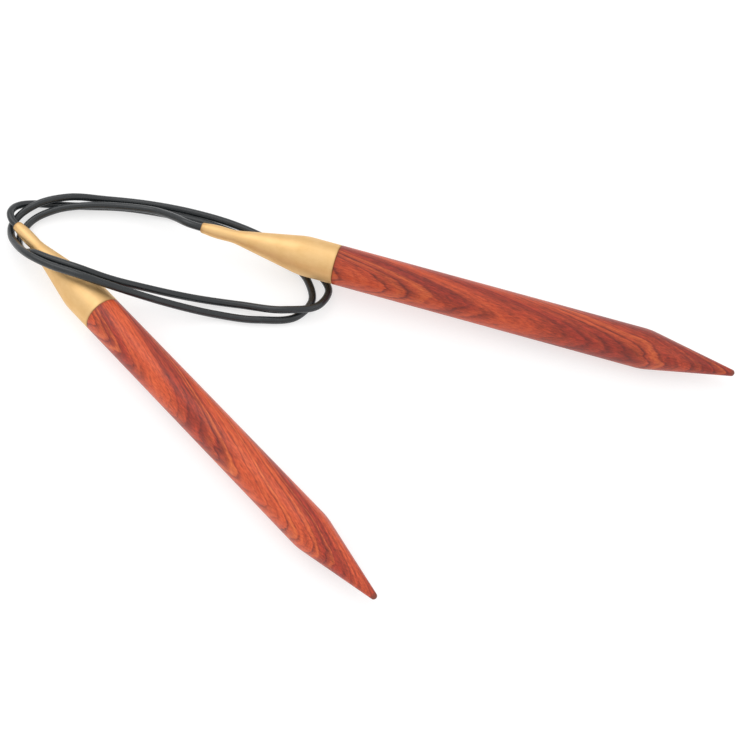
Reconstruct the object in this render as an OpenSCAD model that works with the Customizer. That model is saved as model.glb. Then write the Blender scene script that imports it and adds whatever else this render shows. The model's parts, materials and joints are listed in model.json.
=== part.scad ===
// Circular knitting needle: two turned wooden points in brass ferrules, joined by one
// flexible cable that swivels in the ferrules' necks. Millimetres, +Z up, lying on z = 0.

/* [Wooden points] */
// Diameter of the knitting shaft (9.0 is a US 13)
needle_d = 9; // [8.5:0.1:9.2]
// Length of wood that shows, from the ferrule to the tip
wood_len = 91; // [88:0.5:94]
// Length of the conical taper at the tip
taper_len = 20; // [16:0.5:24]
// Radius of the rounded nose of the tip
nose_r = 0.75; // [0.5:0.05:1.1]

/* [Ferrules] */
// Length of a ferrule, from its mouth to the wood
ferrule_len = 32; // [31:0.5:34]
// Length of the straight sleeve at the wood end
sleeve_len = 8; // [7:0.2:9]
// Outer radius of the neck's slight bulge
bulge_r = 1.5; // [1.46:0.01:1.6]
// Outer radius of the neck's waist
waist_r = 1.45; // [1.42:0.01:1.5]

/* [Cable] */
// Diameter of the cable
cable_d = 1.7; // [1.6:0.05:1.7]
// Radial running gap between the cable and the neck bore
swivel_gap = 0.06; // [0.04:0.01:0.08]

/* [Lay of the needles] */
// Dip of the right point, whose ferrule lies over the cable, in degrees
right_slope = 1.9; // [1.8:0.1:2.2]

/* [Hidden] */
$fn = 64;

needle_r = needle_d / 2;
cable_r = cable_d / 2;
needle_len = ferrule_len + wood_len;
shoulder_at = needle_len - taper_len;

// Outline stations along a needle, measured from the mouth of its ferrule
lip_len = 0.9;
lip_r = 1.24;
bulge_at = 4.6;
waist_at = 7;
flare_at = 10;
flare_r = 1.84;
sleeve_at = ferrule_len - sleeve_len;
cone_soft = 1.5;
shoulder_soft_r = 15;

// Hollows of a ferrule
neck_bore_r = cable_r + swivel_gap;
chamber_at = 10.5;
chamber_r = 1.4;
socket_at = 18;
glue_gap = 0.04;

// Pieces held inside a ferrule
tenon_r = 2.5;
socket_relief = 1;
tenon_len = ferrule_len - socket_at - socket_relief;
seam_chamfer = 0.15;
stop_r = chamber_r - swivel_gap;
stop_at = chamber_at + 0.2;
stop_len = 5.5;
cable_end_len = stop_at + stop_len + 0.3;

// Where each ferrule's mouth lies, and which way its needle points
left_mouth = [-79.5, 45.7];
left_heading = -48.3;
left_slope = 0;
right_mouth = [-36.9, 42.8];
right_heading = -16.9;

// The cable's route from the left mouth to the right one, twice round. The first point is
// straight out of the left mouth, and the last is straight out of the right one.
route = [
    // round beside the left mouth, and down under the outer turn
    [-80.7, 47.1, 4.6], [-81.4, 49.1, 4.4], [-81.1, 51.2, 3.5], [-79.7, 53, 2.3],
    [-77.2, 54, 1.3],
    // far side, between the other two strands
    [-72.5, 54, 0.9], [-66, 53.6, 0.9], [-56, 53.1, 0.9], [-46, 51.3, 0.9], [-36, 48.5, 0.9],
    [-26.5, 44.2, 0.9],
    // under the right ferrule, and round
    [-18, 38.8, 0.9], [-13, 33, 0.9], [-12, 27.6, 0.9], [-15, 23.7, 0.9],
    // near side, outer strand, and over the left ferrule
    [-24, 22.6, 1], [-34, 23.9, 1.4], [-44, 25, 4.2], [-54, 26.2, 8.2],
    [-63, 28.2, 10.8], [-70.8, 32, 9.5], [-76.5, 36.5, 7.5], [-79.2, 40.3, 5.2],
    // round, and far side, outermost strand
    [-80.9, 44, 3.3], [-81.2, 47, 2.4], [-79.9, 50.1, 2], [-76.1, 52.7, 2.8],
    [-69, 54.9, 2.7], [-60, 55.3, 1.1], [-50, 54.1, 0.9], [-40, 51.8, 0.9],
    [-30, 48.3, 0.9],
    // under the right ferrule, and round over the first turn
    [-19.5, 42.5, 0.9], [-11, 35.5, 1], [-8.2, 30, 1.4], [-10.3, 25.6, 2.4],
    [-18, 24, 3],
    // near side, inner strand, and over the left ferrule
    [-28, 26.2, 1.5], [-39, 27.8, 2], [-49, 28.5, 5], [-57, 29.1, 8],
    [-63.5, 30.7, 9.8], [-70.7, 34.2, 8.5], [-74.6, 36.7, 7], [-77, 38.4, 4.6],
    // under the left ferrule's neck, far side, and up to the right mouth
    [-78.7, 41.2, 2.4], [-79.4, 43.8, 1.3], [-78.9, 46.4, 1], [-76.8, 49.6, 1],
    [-72.2, 51.7, 1.8], [-64, 52.6, 2.6], [-56, 52.1, 2.9], [-48.5, 50.2, 4],
    [-43.2, 46.5, 6.6], [-39.8, 43.8, 8]
];

wood = [0.70, 0.24, 0.15];
brass = [0.86, 0.68, 0.42];
nylon = [0.16, 0.17, 0.18];
steel = [0.62, 0.63, 0.65];

// ---- Needles ----

// Height of a needle's axis at its mouth, with the shoulder of its taper resting on z = 0
function mouth_height(slope) = needle_r * cos(slope) + shoulder_at * sin(slope);

// Smooth curve from one [station, radius] point to the next, with the slope given at each
function blend(a, b, slope_a, slope_b, steps = 8) =
    [for (i = [1:steps]) let (u = i / steps, h = b[0] - a[0])
        [a[0] + h * u,
         (2*u^3 - 3*u^2 + 1) * a[1] + (u^3 - 2*u^2 + u) * h * slope_a
         + (3*u^2 - 2*u^3) * b[1] + (u^3 - u^2) * h * slope_b]];

// Arc of a circle as [station, radius] points
function arc(centre, r, from, to, steps = 8) =
    [for (i = [0:steps]) let (a = from + (to - from) * i / steps)
        centre + r * [cos(a), sin(a)]];

cone_slope = (needle_r - flare_r) / (sleeve_at - flare_at);
ferrule_outline = concat(
    [[0, neck_bore_r + 0.12]],
    [for (a = [15:15:90])
        [lip_len * (1 - cos(a)), neck_bore_r + 0.12 + (lip_r - neck_bore_r - 0.12) * sin(a)]],
    blend([lip_len, lip_r], [bulge_at, bulge_r], 0.14, 0),
    blend([bulge_at, bulge_r], [waist_at, waist_r], 0, 0),
    blend([waist_at, waist_r], [flare_at, flare_r], 0, cone_slope),
    blend([sleeve_at - cone_soft, needle_r - cone_soft * cone_slope],
          [sleeve_at + cone_soft, needle_r], cone_slope, 0));

nose_to_shoulder = taper_len - nose_r;
taper_angle = atan(needle_r / nose_to_shoulder)
              - asin(nose_r / norm([needle_r, nose_to_shoulder]));
nose_centre = [wood_len - nose_r, 0];
soft_len = shoulder_soft_r * tan(taper_angle / 2);
point_outline = concat(
    [[0, 0], [-tenon_len, 0], [-tenon_len, tenon_r - 0.3], [-tenon_len + 0.3, tenon_r],
     [0, tenon_r], [0, needle_r - seam_chamfer], [seam_chamfer, needle_r]],
    arc([wood_len - taper_len - soft_len, needle_r - shoulder_soft_r], shoulder_soft_r,
        90, 90 - taper_angle),
    arc(nose_centre, nose_r, 90 - taper_angle, 0));

// Puts a piece made along +Z on its needle's axis, with z = 0 at the ferrule's mouth
module lay(mouth, heading, slope) {
    translate([mouth[0], mouth[1], mouth_height(slope)])
        rotate([0, 90 + slope, heading])
            children();
}

module on_left() lay(left_mouth, left_heading, left_slope) children();
module on_right() lay(right_mouth, right_heading, right_slope) children();

// A body of revolution about +Z from [station, radius] points
module turned(outline) {
    rotate_extrude()
        polygon([for (p = outline) [p[1], p[0]]]);
}

// Wooden point: tenon, knitting shaft and tapered tip
module point() {
    color(wood)
        translate([0, 0, ferrule_len])
            turned(point_outline);
}

// Brass ferrule: neck bore for the cable, chamber for its stop, socket for the tenon
module ferrule() {
    color(brass)
        difference() {
            turned(concat([[0, 0]], ferrule_outline,
                          [[ferrule_len - seam_chamfer, needle_r],
                           [ferrule_len, needle_r - seam_chamfer], [ferrule_len, 0]]));
            translate([0, 0, -1])
                cylinder(r = neck_bore_r, h = chamber_at + 2);
            translate([0, 0, chamber_at])
                cylinder(r = chamber_r, h = socket_at - chamber_at + 1);
            translate([0, 0, socket_at])
                cylinder(r = tenon_r + glue_gap, h = ferrule_len - socket_at + 1);
        }
}

// The end of the cable that runs inside the neck
module cable_end() {
    color(nylon)
        cylinder(r = cable_r, h = cable_end_len);
}

// Sleeve crimped on the cable's end, which keeps it in the ferrule and lets it turn
module cable_stop() {
    color(steel)
        translate([0, 0, stop_at])
            difference() {
                cylinder(r = stop_r, h = stop_len);
                translate([0, 0, -1])
                    cylinder(r = cable_r, h = stop_len + 2);
            }
}

// ---- Cable ----

cable_sides = 8;
ring_spacing = 6;
ring_turn = 36;

function mouth_point(mouth, slope) = [mouth[0], mouth[1], mouth_height(slope)];
function axis_of(heading, slope) =
    [cos(heading) * cos(slope), sin(heading) * cos(slope), -sin(slope)];
function unit(v) = v / norm(v);

// The direction of the route at point i, from its two neighbours weighted by nearness
function tangent(p, i) =
    i == 0 ? -axis_of(left_heading, left_slope) :
    i == len(p) - 1 ? axis_of(right_heading, right_slope) :
    let (a = p[i] - p[i - 1], b = p[i + 1] - p[i], la = norm(a), lb = norm(b))
    (a / la) * (lb / (la + lb)) + (b / lb) * (la / (la + lb));

// A point on the smooth curve through the route, u of the way from point i to the next
function on_span(p, i, u) =
    let (h = norm(p[i + 1] - p[i]))
    (2*u^3 - 3*u^2 + 1) * p[i] + (u^3 - 2*u^2 + u) * h * tangent(p, i)
    + (3*u^2 - 2*u^3) * p[i + 1] + (u^3 - u^2) * h * tangent(p, i + 1);

// Carries a ring's side vector on to the next direction without twisting it
function carried(side, direction) = unit(side - (side * direction) * direction);

// How many rings a span of the route needs, for its length and for how much it turns
function rings_in(p, i) =
    let (turn = acos(min(1, unit(tangent(p, i)) * unit(tangent(p, i + 1)))))
    max(1, round(norm(p[i + 1] - p[i]) / ring_spacing), ceil(turn / ring_turn));

cable_points = concat([mouth_point(left_mouth, left_slope)], route,
                      [mouth_point(right_mouth, right_slope)]);
cable_line = concat(
    [for (i = [0:len(cable_points) - 2])
        let (n = rings_in(cable_points, i))
        each [for (k = [0:n - 1]) on_span(cable_points, i, k / n)]],
    [cable_points[len(cable_points) - 1]]);
ring_count = len(cable_line);

ring_axes = [for (i = [0:ring_count - 1])
    i == 0 ? -axis_of(left_heading, left_slope) :
    i == ring_count - 1 ? axis_of(right_heading, right_slope) :
    unit(cable_line[i + 1] - cable_line[i - 1])];

function sides_from(i, side) =
    i == ring_count ? [] :
    let (s = carried(side, ring_axes[i])) concat([s], sides_from(i + 1, s));
ring_sides = sides_from(0, [0, 0, 1]);

cable_vertices = [for (i = [0:ring_count - 1], k = [0:cable_sides - 1])
    let (a = 360 * k / cable_sides, s = ring_sides[i], t = cross(ring_axes[i], s))
    cable_line[i] + cable_r * (cos(a) * s + sin(a) * t)];
cable_faces = concat(
    [[for (k = [0:cable_sides - 1]) k]],
    [for (i = [0:ring_count - 2], k = [0:cable_sides - 1])
        let (a = i * cable_sides, j = (k + 1) % cable_sides)
        [a + k, a + cable_sides + k, a + cable_sides + j, a + j]],
    [[for (k = [cable_sides - 1:-1:0]) (ring_count - 1) * cable_sides + k]]);

// The free length of the cable, from mouth to mouth
module cable() {
    color(nylon)
        polyhedron(points = cable_vertices, faces = cable_faces, convexity = 10);
}

module left_point() on_left() point();
module right_point() on_right() point();
module left_ferrule() on_left() ferrule();
module right_ferrule() on_right() ferrule();
module left_cable_end() on_left() cable_end();
module right_cable_end() on_right() cable_end();
module left_cable_stop() on_left() cable_stop();
module right_cable_stop() on_right() cable_stop();

left_point();
right_point();
left_ferrule();
right_ferrule();
cable();
left_cable_end();
right_cable_end();
left_cable_stop();
right_cable_stop();
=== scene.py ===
"""Looks of a circular knitting needle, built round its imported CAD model. Metres, +Z up."""

import json
import math

import bpy
from mathutils import Matrix, Vector


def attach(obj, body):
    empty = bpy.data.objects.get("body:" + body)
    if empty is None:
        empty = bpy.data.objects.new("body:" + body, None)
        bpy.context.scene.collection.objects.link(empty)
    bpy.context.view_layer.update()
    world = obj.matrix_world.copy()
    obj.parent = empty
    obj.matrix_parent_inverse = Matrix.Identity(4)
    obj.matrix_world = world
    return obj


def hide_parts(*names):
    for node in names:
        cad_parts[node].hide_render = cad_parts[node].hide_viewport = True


MM = 0.001
UP = Vector((0, 0, 1))

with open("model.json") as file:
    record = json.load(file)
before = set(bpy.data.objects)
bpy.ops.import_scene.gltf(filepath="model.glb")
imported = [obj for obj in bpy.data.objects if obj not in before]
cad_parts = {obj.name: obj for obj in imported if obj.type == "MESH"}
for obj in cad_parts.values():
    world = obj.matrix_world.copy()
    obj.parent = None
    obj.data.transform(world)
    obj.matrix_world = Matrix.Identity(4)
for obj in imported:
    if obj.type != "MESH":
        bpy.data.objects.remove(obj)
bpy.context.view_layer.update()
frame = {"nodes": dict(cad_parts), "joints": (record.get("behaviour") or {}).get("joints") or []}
joints = {j["name"]: j for j in frame["joints"]}

# ---- Sizes, in millimetres, as in the CAD model ----

NEEDLE_R = 4.5
WOOD_LEN = 91
TAPER_LEN = 20
NOSE_R = 0.75
FERRULE_LEN = 32
SLEEVE_LEN = 8
LIP_LEN = 0.9
LIP_R = 1.24
BULGE_AT = 4.6
BULGE_R = 1.5
WAIST_AT = 7
WAIST_R = 1.45
FLARE_AT = 10
FLARE_R = 1.84
CONE_SOFT = 1.5
SHOULDER_SOFT_R = 15
SEAM_CHAMFER = 0.15
CABLE_R = 0.85
NECK_BORE_R = 0.91
RIM_LAND = 0.12
CHAMBER_AT = 10.5
CHAMBER_R = 1.4
SOCKET_AT = 18
SOCKET_R = 2.54
TENON_R = 2.5
TENON_LEN = 13
TENON_CHAMFER = 0.3

# The cable's route between the mouths, in metres, as in the CAD model
ROUTE = [
    # round beside the left mouth, and down under the outer turn
    (-0.0807, 0.0471, 0.0046), (-0.0814, 0.0491, 0.0044), (-0.0811, 0.0512, 0.0035),
    (-0.0797, 0.0530, 0.0023), (-0.0772, 0.0540, 0.0013),
    # far side, between the other two strands
    (-0.0725, 0.0540, 0.0009), (-0.0660, 0.0536, 0.0009), (-0.0560, 0.0531, 0.0009),
    (-0.0460, 0.0513, 0.0009), (-0.0360, 0.0485, 0.0009), (-0.0265, 0.0442, 0.0009),
    # under the right ferrule, and round
    (-0.0180, 0.0388, 0.0009), (-0.0130, 0.0330, 0.0009), (-0.0120, 0.0276, 0.0009),
    (-0.0150, 0.0237, 0.0009),
    # near side, outer strand, and over the left ferrule
    (-0.0240, 0.0226, 0.0010), (-0.0340, 0.0239, 0.0014), (-0.0440, 0.0250, 0.0042),
    (-0.0540, 0.0262, 0.0082), (-0.0630, 0.0282, 0.0108), (-0.0708, 0.0320, 0.0095),
    (-0.0765, 0.0365, 0.0075), (-0.0792, 0.0403, 0.0052),
    # round, and far side, outermost strand
    (-0.0809, 0.0440, 0.0033), (-0.0812, 0.0470, 0.0024), (-0.0799, 0.0501, 0.0020),
    (-0.0761, 0.0527, 0.0028), (-0.0690, 0.0549, 0.0027), (-0.0600, 0.0553, 0.0011),
    (-0.0500, 0.0541, 0.0009), (-0.0400, 0.0518, 0.0009), (-0.0300, 0.0483, 0.0009),
    # under the right ferrule, and round over the first turn
    (-0.0195, 0.0425, 0.0009), (-0.0110, 0.0355, 0.0010), (-0.0082, 0.0300, 0.0014),
    (-0.0103, 0.0256, 0.0024), (-0.0180, 0.0240, 0.0030),
    # near side, inner strand, and over the left ferrule
    (-0.0280, 0.0262, 0.0015), (-0.0390, 0.0278, 0.0020), (-0.0490, 0.0285, 0.0050),
    (-0.0570, 0.0291, 0.0080), (-0.0635, 0.0307, 0.0098), (-0.0707, 0.0342, 0.0085),
    (-0.0746, 0.0367, 0.0070), (-0.0770, 0.0384, 0.0046),
    # under the left ferrule's neck, far side, and up to the right mouth
    (-0.0787, 0.0412, 0.0024), (-0.0794, 0.0438, 0.0013), (-0.0789, 0.0464, 0.0010),
    (-0.0768, 0.0496, 0.0010), (-0.0722, 0.0517, 0.0018), (-0.0640, 0.0526, 0.0026),
    (-0.0560, 0.0521, 0.0029), (-0.0485, 0.0502, 0.0040), (-0.0432, 0.0465, 0.0066),
    (-0.0398, 0.0438, 0.0080),
]


# ---- Camera ----

def make_camera():
    """The photograph's viewing angle: level, and 60 degrees above the surface."""
    elevation = math.radians(60)
    distance = 0.4101
    target = Vector((0.0009, 0.01045, 0))
    back = Vector((0, -math.cos(elevation), math.sin(elevation)))
    data = bpy.data.cameras.new("camera")
    data.sensor_width = 36
    data.lens = 90.46
    data.clip_start = 0.01
    data.clip_end = 20
    camera = bpy.data.objects.new("camera", data)
    bpy.context.scene.collection.objects.link(camera)
    camera.location = target + back * distance
    camera.rotation_mode = "QUATERNION"
    camera.rotation_quaternion = (-back).to_track_quat("-Z", "Y")
    bpy.context.scene.camera = camera


make_camera()


# ---- Meshes ----

# Radius in millimetres below which an outline's point is on the axis
ON_AXIS = 1e-6

# Angles between faces above which an edge is drawn sharp
TURNED_EDGE = math.radians(30)
CABLE_EDGE = math.radians(50)


def new_object(name, vertices, faces, material):
    """A smooth-shaded mesh object."""
    mesh = bpy.data.meshes.new(name)
    mesh.from_pydata(vertices, [], faces)
    mesh.validate()
    mesh.polygons.foreach_set("use_smooth", [True] * len(mesh.polygons))
    mesh.materials.append(material)
    piece = bpy.data.objects.new(name, mesh)
    bpy.context.scene.collection.objects.link(piece)
    return piece


def eased(a, b, slope_a, slope_b, length, u):
    """A point u of the way from a to b, on a smooth curve with the slope at each end."""
    return ((2 * u**3 - 3 * u**2 + 1) * a + (u**3 - 2 * u**2 + u) * length * slope_a
            + (3 * u**2 - 2 * u**3) * b + (u**3 - u**2) * length * slope_b)


def blend(a, b, slope_a, slope_b, steps=20):
    """Smooth outline from one (station, radius) point to the next, without its first point."""
    h = b[0] - a[0]
    made = []
    for i in range(1, steps + 1):
        u = i / steps
        made.append((a[0] + h * u, eased(a[1], b[1], slope_a, slope_b, h, u)))
    return made


def arc(centre, radius, start, end, steps=16):
    """Arc of a circle as (station, radius) points, between two angles in degrees."""
    made = []
    for i in range(steps + 1):
        a = math.radians(start + (end - start) * i / steps)
        made.append((centre[0] + radius * math.cos(a), centre[1] + radius * math.sin(a)))
    return made


def run(start, end, radius_a, radius_b, steps):
    """Straight stretch of outline in even steps, without its first point."""
    made = []
    for i in range(1, steps + 1):
        u = i / steps
        made.append((start + (end - start) * u, radius_a + (radius_b - radius_a) * u))
    return made


def ring(count, sides):
    """The numbers of the next ring of vertices, after the count made so far."""
    return list(range(count, count + sides))


def band(low, high):
    """Faces between two rings; a ring of one vertex is a point on the axis."""
    faces = []
    sides = max(len(low), len(high))
    for k in range(sides):
        j = (k + 1) % sides
        if len(low) == 1:
            faces.append((low[0], high[j], high[k]))
        elif len(high) == 1:
            faces.append((low[k], low[j], high[0]))
        else:
            faces.append((low[k], low[j], high[j], high[k]))
    return faces


def turned(name, outline, material, sides=128, closed=False):
    """A body of revolution about its own Z from (station, radius) points in millimetres.
    An open outline starts and ends on the axis; a closed one goes round a bore."""
    vertices, rings = [], []
    for station, radius in outline:
        if radius < ON_AXIS:
            rings.append(ring(len(vertices), 1))
            vertices.append((0, 0, station * MM))
            continue
        rings.append(ring(len(vertices), sides))
        for k in range(sides):
            a = 2 * math.pi * k / sides
            vertices.append((radius * math.cos(a) * MM, radius * math.sin(a) * MM, station * MM))
    faces = []
    for low, high in zip(rings, rings[1:]):
        faces += band(low, high)
    if closed:
        faces += band(rings[-1], rings[0])
    piece = new_object(name, vertices, faces, material)
    piece.data.set_sharp_from_angle(angle=TURNED_EDGE)
    return piece


# ---- Cable's line ----

def axis_of(joint):
    """The direction along the needle that turns on the joint, towards its tip."""
    return Vector(joints[joint]["axis"]).normalized()


def mouth_of(joint):
    """Where the cable enters the joint's needle."""
    return Vector(joints[joint]["pos_m"])


def cable_line(per_span=12):
    """The smooth curve through the route, as the CAD model sweeps it."""
    points = [mouth_of("left_swivel")] + [Vector(p) for p in ROUTE] + [mouth_of("right_swivel")]
    last = len(points) - 1
    tangents = [-axis_of("left_swivel")]
    for i in range(1, last):
        a, b = points[i] - points[i - 1], points[i + 1] - points[i]
        la, lb = a.length, b.length
        tangents.append((a / la) * (lb / (la + lb)) + (b / lb) * (la / (la + lb)))
    tangents.append(axis_of("right_swivel"))
    line = []
    for i in range(last):
        h = (points[i + 1] - points[i]).length
        for k in range(per_span):
            line.append(eased(
                points[i], points[i + 1], tangents[i], tangents[i + 1], h, k / per_span))
    return line + [points[last]]


def cable_tube(name, line, material, sides=24):
    """A closed tube along the line. Its along attribute holds each vertex's place on the
    cable drawn straight, in millimetres, so that the material follows the cable."""
    vertices, places = [], []
    side, travelled = UP.copy(), 0.0
    for i, point in enumerate(line):
        ahead = line[min(i + 1, len(line) - 1)] - line[max(i - 1, 0)]
        ahead.normalize()
        side = (side - side.dot(ahead) * ahead).normalized()
        other = ahead.cross(side)
        if i:
            travelled += (point - line[i - 1]).length
        for k in range(sides):
            a = 2 * math.pi * k / sides
            offset = CABLE_R * (math.cos(a) * side + math.sin(a) * other)
            vertices.append(point + offset * MM)
            places.append((CABLE_R * math.cos(a), CABLE_R * math.sin(a), travelled / MM))
    rings = [ring(i * sides, sides) for i in range(len(line))]
    faces = [tuple(reversed(rings[0]))]
    for low, high in zip(rings, rings[1:]):
        faces += band(low, high)
    faces.append(tuple(rings[-1]))
    piece = new_object(name, vertices, faces, material)
    along = piece.data.attributes.new("along", "FLOAT_VECTOR", "POINT")
    along.data.foreach_set("vector", [x for place in places for x in place])
    piece.data.set_sharp_from_angle(angle=CABLE_EDGE)
    return piece


# ---- Materials ----

# Sockets of a Mix node that mixes colours
MIX_AMOUNT, MIX_A, MIX_B, MIX_RESULT = 0, 6, 7, 2


class Shader:
    """A node material with short calls for the nodes that it uses."""

    def __init__(self, name):
        self.material = bpy.data.materials.new(name)
        self.material.use_nodes = True
        self.tree = self.material.node_tree
        self.surface = self.tree.nodes["Principled BSDF"]

    def put(self, value, socket):
        """Links an output to a socket, or sets the socket's own value."""
        if isinstance(value, bpy.types.NodeSocket):
            self.tree.links.new(value, socket)
        else:
            socket.default_value = value

    def node(self, kind, **settings):
        """Adds a node with the given settings."""
        made = self.tree.nodes.new(kind)
        for key, value in settings.items():
            setattr(made, key, value)
        return made

    def math(self, operation, a, b=0.0):
        """One sum on numbers or outputs."""
        made = self.node("ShaderNodeMath", operation=operation)
        self.put(a, made.inputs[0])
        self.put(b, made.inputs[1])
        return made.outputs[0]

    def object_place(self):
        """Place on the piece, in millimetres."""
        place = self.node("ShaderNodeTexCoord").outputs["Object"]
        return self.scaled(place, (1 / MM, 1 / MM, 1 / MM))

    def part(self, place, axis):
        """One coordinate of a place: 0, 1 or 2 for X, Y or Z."""
        made = self.node("ShaderNodeSeparateXYZ")
        self.put(place, made.inputs[0])
        return made.outputs[axis]

    def from_seam(self, station):
        """Distance from where the ferrule meets the wood, in millimetres."""
        return self.math("ABSOLUTE", self.math("SUBTRACT", station, FERRULE_LEN))

    def scaled(self, place, scale, turn=(0, 0, 0), shift=(0, 0, 0)):
        """A place that is scaled, then turned by degrees, then shifted."""
        made = self.node("ShaderNodeMapping")
        self.put(place, made.inputs["Vector"])
        made.inputs["Scale"].default_value = scale
        made.inputs["Rotation"].default_value = [math.radians(a) for a in turn]
        made.inputs["Location"].default_value = shift
        return made.outputs[0]

    def noise(self, place, scale, shift=(0, 0, 0), detail=3.0, rough=0.5):
        """Noise from 0 to 1, with the scale in cycles per millimetre along each axis."""
        made = self.node("ShaderNodeTexNoise")
        self.put(self.scaled(place, scale, shift=shift), made.inputs["Vector"])
        made.inputs["Scale"].default_value = 1
        made.inputs["Detail"].default_value = detail
        made.inputs["Roughness"].default_value = rough
        return made.outputs[0]

    def ramp(self, value, stops):
        """Reads a number off a curve of (position, level) stops."""
        made = self.node("ShaderNodeValToRGB")
        self.put(value, made.inputs[0])
        elements = made.color_ramp.elements
        while len(elements) < len(stops):
            elements.new(0.5)
        for element, (position, level) in zip(elements, stops):
            element.position = position
            element.color = (level, level, level, 1)
        return made.outputs[0]

    def mix(self, amount, a, b, kind="MIX"):
        """Mixes two colours."""
        made = self.node("ShaderNodeMix", data_type="RGBA", blend_type=kind)
        self.put(amount, made.inputs[MIX_AMOUNT])
        self.put(a, made.inputs[MIX_A])
        self.put(b, made.inputs[MIX_B])
        return made.outputs[MIX_RESULT]

    def mark(self, colour, distance, reach, stops, dark):
        """Darkens a colour by a curve of a distance, which ends at the reach."""
        amount = self.ramp(self.math("DIVIDE", distance, reach), stops)
        return self.mix(amount, colour, dark)

    def bump(self, height, distance, strength):
        """A normal from a height, where a height of 1 is the distance in millimetres."""
        made = self.node("ShaderNodeBump")
        self.put(height, made.inputs["Height"])
        made.inputs["Distance"].default_value = distance * MM
        made.inputs["Strength"].default_value = strength
        return made.outputs[0]

    def finish(self, **sockets):
        """Sets the surface's sockets, named with _ for a space, and gives the material."""
        for name, value in sockets.items():
            self.put(value, self.surface.inputs[name.replace("_", " ")])
        return self.material


def rgb(red, green, blue):
    """A colour for a shader from 0 to 255 screen levels."""
    def linear(level):
        level /= 255
        return level / 12.92 if level <= 0.04045 else ((level + 0.055) / 1.055) ** 2.4
    return (linear(red), linear(green), linear(blue), 1)


def growth_layers(s, grain, thickness):
    """How dark each growth layer's late wood is and how light its early wood is. The layers
    wander by a wide and a fine noise, each with a reach in millimetres."""
    wide_reach, fine_reach = 4.5, 0.8
    wide = s.noise(grain, (0.10, 0.10, 0.018), detail=2)
    fine = s.noise(grain, (0.6, 0.6, 0.05), shift=(7, 3, 1), detail=3)
    drift = s.math("ADD", s.math("MULTIPLY", s.math("SUBTRACT", wide, 0.5), wide_reach),
                   s.math("MULTIPLY", s.math("SUBTRACT", fine, 0.5), fine_reach))
    layer = s.math("DIVIDE", s.math("ADD", s.part(grain, 0), drift), thickness)
    in_layer = s.math("FRACT", layer)
    number = s.node("ShaderNodeTexWhiteNoise", noise_dimensions="1D")
    s.put(s.math("FLOOR", layer), number.inputs["W"])
    late = s.ramp(in_layer, [(0.0, 0.5), (0.08, 0.0), (0.45, 0.05), (0.8, 0.45), (0.95, 1.0),
                             (1.0, 0.5)])
    late_share = s.math("ADD", s.math("MULTIPLY", number.outputs[0], 0.8), 0.2)
    early = s.ramp(in_layer, [(0.0, 0.0), (0.12, 0.7), (0.3, 1.0), (0.55, 0.3), (1.0, 0.0)])
    early_share = s.ramp(number.outputs[0], [(0.5, 0.0), (1.0, 0.8)])
    return s.math("MULTIPLY", late, late_share), s.math("MULTIPLY", early, early_share)


def wood_marks(s, colour, station):
    """A dark line at the ferrule and a darker end grain at the nose."""
    colour = s.mark(colour, s.from_seam(station), 2, [(0.0, 0.6), (0.08, 0.25), (0.4, 0.0)],
                    rgb(88, 36, 20))
    to_tip = s.math("SUBTRACT", FERRULE_LEN + WOOD_LEN, station)
    return s.mark(colour, to_tip, 4, [(0.0, 0.8), (0.14, 0.6), (0.3, 0.0)], rgb(104, 58, 44))


def wood_material(name, tilt, shift, thickness, depth):
    """Red-stained wood: growth layers that cross the needle at a low angle, fibres along
    them, short pores, and the marks at its ends. Tilt is the angle in degrees, shift picks
    the piece of wood, thickness is a layer's, and depth is how far the whole colour is
    multiplied towards a dull pink, which darkens it."""
    s = Shader(name)
    place = s.object_place()
    grain = s.scaled(place, (1, 1, 1), turn=(0, tilt, 0), shift=shift)
    late, early = growth_layers(s, grain, thickness)
    band_of_stain = s.ramp(s.noise(grain, (0.36, 0.06, 0.01), shift=(6, 2, 9), detail=3),
                           [(0.4, 0.0), (0.6, 1.0)])
    streak = s.noise(grain, (2.6, 0.3, 0.035), shift=(3, 9, 4), detail=4, rough=0.6)
    fibre = s.noise(grain, (3.4, 3.4, 0.42), detail=6, rough=0.7)
    pore = s.ramp(s.noise(grain, (8, 8, 0.5), shift=(1, 5, 2), detail=1),
                  [(0.62, 0.0), (0.72, 1.0)])
    colour = s.mix(band_of_stain, rgb(214, 88, 44), rgb(164, 52, 30))
    colour = s.mix(early, colour, rgb(224, 112, 54))
    colour = s.mix(s.math("MULTIPLY", late, 0.9), colour, rgb(104, 32, 24))
    colour = s.mix(0.5, colour, s.ramp(streak, [(0.3, 0.2), (0.7, 0.8)]), "OVERLAY")
    colour = s.mix(0.5, colour, s.ramp(fibre, [(0.36, 0.14), (0.64, 0.88)]), "OVERLAY")
    colour = s.mix(s.math("MULTIPLY", pore, 0.4), colour, rgb(80, 26, 20))
    colour = s.mix(depth, colour, rgb(178, 138, 156), "MULTIPLY")
    colour = wood_marks(s, colour, s.part(place, 2))
    rough = s.math("ADD", 0.36, s.math("MULTIPLY", fibre, 0.14))
    height = s.math("SUBTRACT", s.math("MULTIPLY", fibre, 0.5), pore)
    return s.finish(
        Base_Color=colour, Roughness=rough, Normal=s.bump(height, 0.03, 0.35),
        Coat_Weight=0.12, Coat_Roughness=0.22, IOR=1.42)


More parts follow.
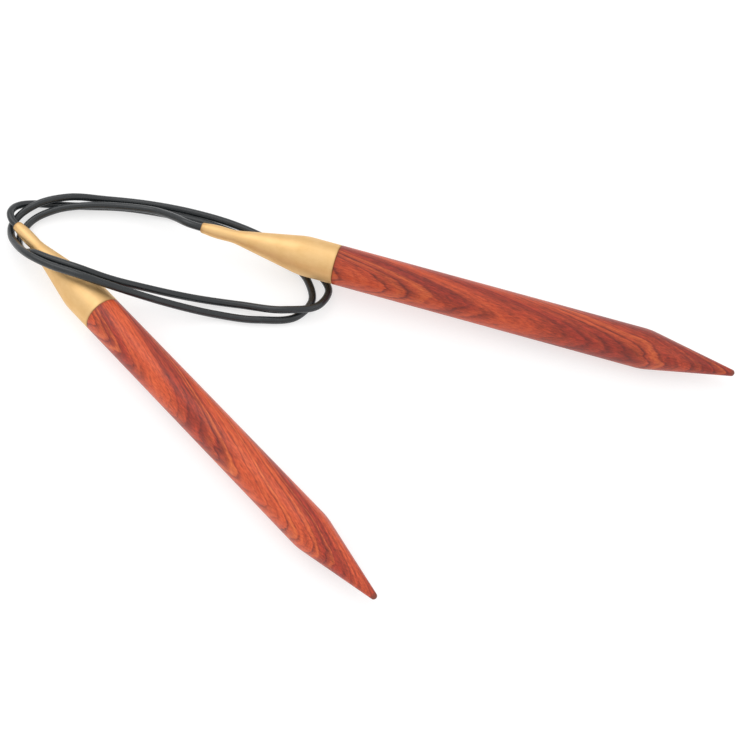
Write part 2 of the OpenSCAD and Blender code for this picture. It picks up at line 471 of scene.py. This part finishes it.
def brass_material(name):
    """Satin brass: fine turning lines round the axis, soft tarnish, specks, and a brown
    line at the seam and at the mouth."""
    s = Shader(name)
    place = s.object_place()
    station = s.part(place, 2)
    lines = s.noise(place, (0.15, 0.15, 14), detail=3, rough=0.6)
    coarse = s.noise(place, (0.05, 0.05, 2.2), shift=(5, 0, 2), detail=2)
    tarnish = s.ramp(s.noise(place, (0.35, 0.35, 0.2), shift=(2, 8, 6), detail=5, rough=0.6),
                     [(0.4, 0.0), (0.75, 1.0)])
    speck = s.ramp(s.noise(place, (5, 5, 5), detail=2), [(0.66, 0.0), (0.74, 1.0)])
    colour = s.mix(tarnish, rgb(236, 198, 141), rgb(228, 188, 128))
    colour = s.mix(s.math("MULTIPLY", speck, 0.12), colour, rgb(180, 134, 78))
    colour = s.mark(colour, s.from_seam(station), 2, [(0.0, 0.6), (0.06, 0.2), (0.25, 0.0)],
                    rgb(122, 78, 34))
    colour = s.mark(colour, station, 4, [(0.0, 0.7), (0.1, 0.25), (0.3, 0.0)],
                    rgb(150, 104, 56))
    wear = s.math("ADD", s.math("MULTIPLY", tarnish, 0.08), s.math("MULTIPLY", lines, 0.08))
    height = s.math("ADD", lines, s.math("MULTIPLY", coarse, 0.8))
    return s.finish(
        Base_Color=colour, Metallic=1.0, Roughness=s.math("ADD", 0.5, wear),
        Normal=s.bump(height, 0.006, 0.5))


def cable_material(name):
    """Dark extruded nylon: faint drawing lines along it, dull scuffs and a soft gloss."""
    s = Shader(name)
    place = s.node("ShaderNodeAttribute", attribute_name="along").outputs["Vector"]
    drawn = s.noise(place, (3.2, 3.2, 0.05), detail=3)
    scuff = s.ramp(s.noise(place, (1.1, 1.1, 0.35), shift=(4, 1, 8), detail=5, rough=0.65),
                   [(0.52, 0.0), (0.72, 1.0)])
    colour = s.mix(drawn, rgb(20, 24, 27), rgb(32, 37, 40))
    colour = s.mix(s.math("MULTIPLY", scuff, 0.35), colour, rgb(56, 61, 64))
    wear = s.math("ADD", s.math("MULTIPLY", scuff, 0.18), s.math("MULTIPLY", drawn, 0.05))
    return s.finish(
        Base_Color=colour, Roughness=s.math("ADD", 0.22, wear),
        Normal=s.bump(s.math("ADD", drawn, scuff), 0.012, 0.5), IOR=1.53)


def inner_nylon_material(name):
    """The cable's ends inside the necks, on CAD nodes that have no along attribute."""
    s = Shader(name)
    place = s.object_place()
    mottle = s.noise(place, (1.4, 1.4, 1.4), detail=4)
    colour = s.mix(mottle, rgb(30, 33, 35), rgb(52, 56, 58))
    rough = s.math("ADD", 0.27, s.math("MULTIPLY", mottle, 0.15))
    return s.finish(
        Base_Color=colour, Roughness=rough, Normal=s.bump(mottle, 0.01, 0.5), IOR=1.53)


def steel_material(name):
    """Plain crimped steel sleeve: brushed, with a few darker marks."""
    s = Shader(name)
    place = s.object_place()
    brushed = s.noise(place, (6, 6, 0.8), detail=4, rough=0.6)
    marks = s.ramp(s.noise(place, (1.2, 1.2, 1.2), shift=(3, 3, 3), detail=3),
                   [(0.55, 0.0), (0.7, 1.0)])
    colour = s.mix(brushed, rgb(176, 178, 182), rgb(206, 208, 212))
    colour = s.mix(s.math("MULTIPLY", marks, 0.4), colour, rgb(120, 120, 124))
    rough = s.math("ADD", 0.3, s.math("MULTIPLY", brushed, 0.15))
    return s.finish(
        Base_Color=colour, Metallic=1.0, Roughness=rough,
        Normal=s.bump(brushed, 0.008, 0.5))


def floor_material(name):
    """Pale paper with a faint tooth. Its own light softens the shadows on it."""
    s = Shader(name)
    tooth = s.noise(s.object_place(), (0.4, 0.4, 0.4), detail=4)
    colour = s.mix(tooth, rgb(172, 172, 172), rgb(176, 176, 176))
    return s.finish(
        Base_Color=colour, Roughness=0.9, Normal=s.bump(tooth, 0.02, 0.2),
        Emission_Color=rgb(255, 255, 255), Emission_Strength=0.62)


# ---- Cable ----

line = cable_line()
cable = cable_tube("cable_flex", line, cable_material("nylon"))
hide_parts("cable")
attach(cable, "cable")


# ---- Needles ----

def ferrule_outline():
    """Closed outline: mouth, neck, cone and sleeve outside, then socket, chamber and bore."""
    sleeve_at = FERRULE_LEN - SLEEVE_LEN
    cone_slope = (NEEDLE_R - FLARE_R) / (sleeve_at - FLARE_AT)
    rim = NECK_BORE_R + RIM_LAND
    lip_slope = 0.14
    outline = [(0, NECK_BORE_R), (0, rim)]
    for degrees in range(10, 91, 10):
        a = math.radians(degrees)
        outline.append((LIP_LEN * (1 - math.cos(a)), rim + (LIP_R - rim) * math.sin(a)))
    outline += blend((LIP_LEN, LIP_R), (BULGE_AT, BULGE_R), lip_slope, 0)
    outline += blend((BULGE_AT, BULGE_R), (WAIST_AT, WAIST_R), 0, 0)
    outline += blend((WAIST_AT, WAIST_R), (FLARE_AT, FLARE_R), 0, cone_slope)
    cone_end = sleeve_at - CONE_SOFT
    cone_r = NEEDLE_R - CONE_SOFT * cone_slope
    outline += run(FLARE_AT, cone_end, FLARE_R, cone_r, 24)
    outline += blend((cone_end, cone_r), (sleeve_at + CONE_SOFT, NEEDLE_R), cone_slope, 0)
    outline += run(sleeve_at + CONE_SOFT, FERRULE_LEN - SEAM_CHAMFER, NEEDLE_R, NEEDLE_R, 16)
    outline += [
        (FERRULE_LEN, NEEDLE_R - SEAM_CHAMFER), (FERRULE_LEN, SOCKET_R),
        (SOCKET_AT, SOCKET_R), (SOCKET_AT, CHAMBER_R),
        (CHAMBER_AT, CHAMBER_R), (CHAMBER_AT, NECK_BORE_R)]
    return outline


def point_outline():
    """Outline of a wooden point: tenon, shaft, softened shoulder, cone and round nose."""
    to_shoulder = TAPER_LEN - NOSE_R
    angle = math.degrees(
        math.atan(NEEDLE_R / to_shoulder) - math.asin(NOSE_R / math.hypot(NEEDLE_R, to_shoulder)))
    soft_len = SHOULDER_SOFT_R * math.tan(math.radians(angle / 2))
    shaft_end = FERRULE_LEN + WOOD_LEN - TAPER_LEN - soft_len
    tenon_end = FERRULE_LEN - TENON_LEN
    outline = [
        (tenon_end, 0), (tenon_end, TENON_R - TENON_CHAMFER),
        (tenon_end + TENON_CHAMFER, TENON_R),
        (FERRULE_LEN, TENON_R), (FERRULE_LEN, NEEDLE_R - SEAM_CHAMFER),
        (FERRULE_LEN + SEAM_CHAMFER, NEEDLE_R)]
    outline += run(FERRULE_LEN + SEAM_CHAMFER, shaft_end, NEEDLE_R, NEEDLE_R, 60)
    shoulder = arc((shaft_end, NEEDLE_R - SHOULDER_SOFT_R), SHOULDER_SOFT_R, 90, 90 - angle)
    nose = arc((FERRULE_LEN + WOOD_LEN - NOSE_R, 0), NOSE_R, 90 - angle, 0, 12)
    outline += shoulder[1:]
    outline += run(shoulder[-1][0], nose[0][0], shoulder[-1][1], nose[0][1], 30)
    outline += nose[1:-1] + [(FERRULE_LEN + WOOD_LEN, 0)]
    return outline


def needle_place(joint, roll):
    """The needle's own frame: origin at the mouth, Z along it, X turned up by roll degrees."""
    ahead = axis_of(joint)
    side = ahead.cross(UP).normalized()
    over = side.cross(ahead)
    a = math.radians(roll)
    x = math.cos(a) * side + math.sin(a) * over
    turn = Matrix((x, ahead.cross(x), ahead)).transposed()
    return Matrix.Translation(mouth_of(joint)) @ turn.to_4x4()


def make_needle(hand, joint, roll, wood, brass):
    """One wooden point and its ferrule, which stand for the CAD ones."""
    place = needle_place(joint, roll)
    for name, outline, material, slot, closed in (
            (hand + "_wood", point_outline(), wood, "wood", False),
            (hand + "_brass", ferrule_outline(), brass, "brass", True)):
        piece = turned(name, outline, material, closed=closed)
        piece.matrix_world = place
        node = hand + ("_point" if slot == "wood" else "_ferrule")
        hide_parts(node)
        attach(piece, hand + "_needle")


# How far each needle's grain is turned up from level, in degrees
GRAIN_ROLL = 28

brass = brass_material("brass")
make_needle(
    "left", "left_swivel", GRAIN_ROLL,
    wood_material("wood_left", -10, (4.3, 17, 51), 0.7, 0.1), brass)
make_needle(
    "right", "right_swivel", GRAIN_ROLL,
    wood_material("wood_right", -9, (6.3, 2, 55), 0.9, 0.45), brass)


# ---- Pieces inside the ferrules ----

def repaint(node, material):
    """Gives a CAD piece a material of its own."""
    mesh = frame["nodes"][node].data
    mesh.materials.clear()
    mesh.materials.append(material)


inner_nylon = inner_nylon_material("nylon_inside")
steel = steel_material("crimped_steel")
for hand in ("left", "right"):
    repaint(hand + "_cable_end", inner_nylon)
    repaint(hand + "_cable_stop", steel)


# ---- Floor and light ----

def make_floor():
    """A plain floor, four metres square."""
    half = 2.0
    corners = [(-half, -half, 0), (half, -half, 0), (half, half, 0), (-half, half, 0)]
    floor = new_object("floor", corners, [(0, 1, 2, 3)], floor_material("paper"))


def make_world():
    """Even white surroundings, a little darker low down."""
    world = bpy.data.worlds.new("studio")
    bpy.context.scene.world = world
    world.use_nodes = True
    nodes, links = world.node_tree.nodes, world.node_tree.links
    height = nodes.new("ShaderNodeSeparateXYZ")
    links.new(nodes.new("ShaderNodeTexCoord").outputs["Generated"], height.inputs[0])
    shade = nodes.new("ShaderNodeValToRGB")
    links.new(height.outputs["Z"], shade.inputs[0])
    low, high = shade.color_ramp.elements
    low.position = 0.0
    low.color = (0.78, 0.79, 0.80, 1)
    high.position = 0.7
    high.color = (1, 1, 1, 1)
    background = nodes["Background"]
    links.new(shade.outputs[0], background.inputs["Color"])
    background.inputs["Strength"].default_value = 1.0


def make_light(name, place, size, power):
    """A square soft light that points at the object."""
    data = bpy.data.lights.new(name, "AREA")
    data.size = size
    data.energy = power
    light = bpy.data.objects.new(name, data)
    bpy.context.scene.collection.objects.link(light)
    light.location = place
    light.rotation_mode = "QUATERNION"
    light.rotation_quaternion = (-Vector(place)).to_track_quat("-Z", "Y")


make_floor()
make_world()
make_light("key", (-0.5, 0.5, 0.9), 0.8, 2.5)
make_light("fill", (0.8, -0.3, 0.8), 0.9, 1)
bpy.context.scene.view_settings.view_transform = "Standard"
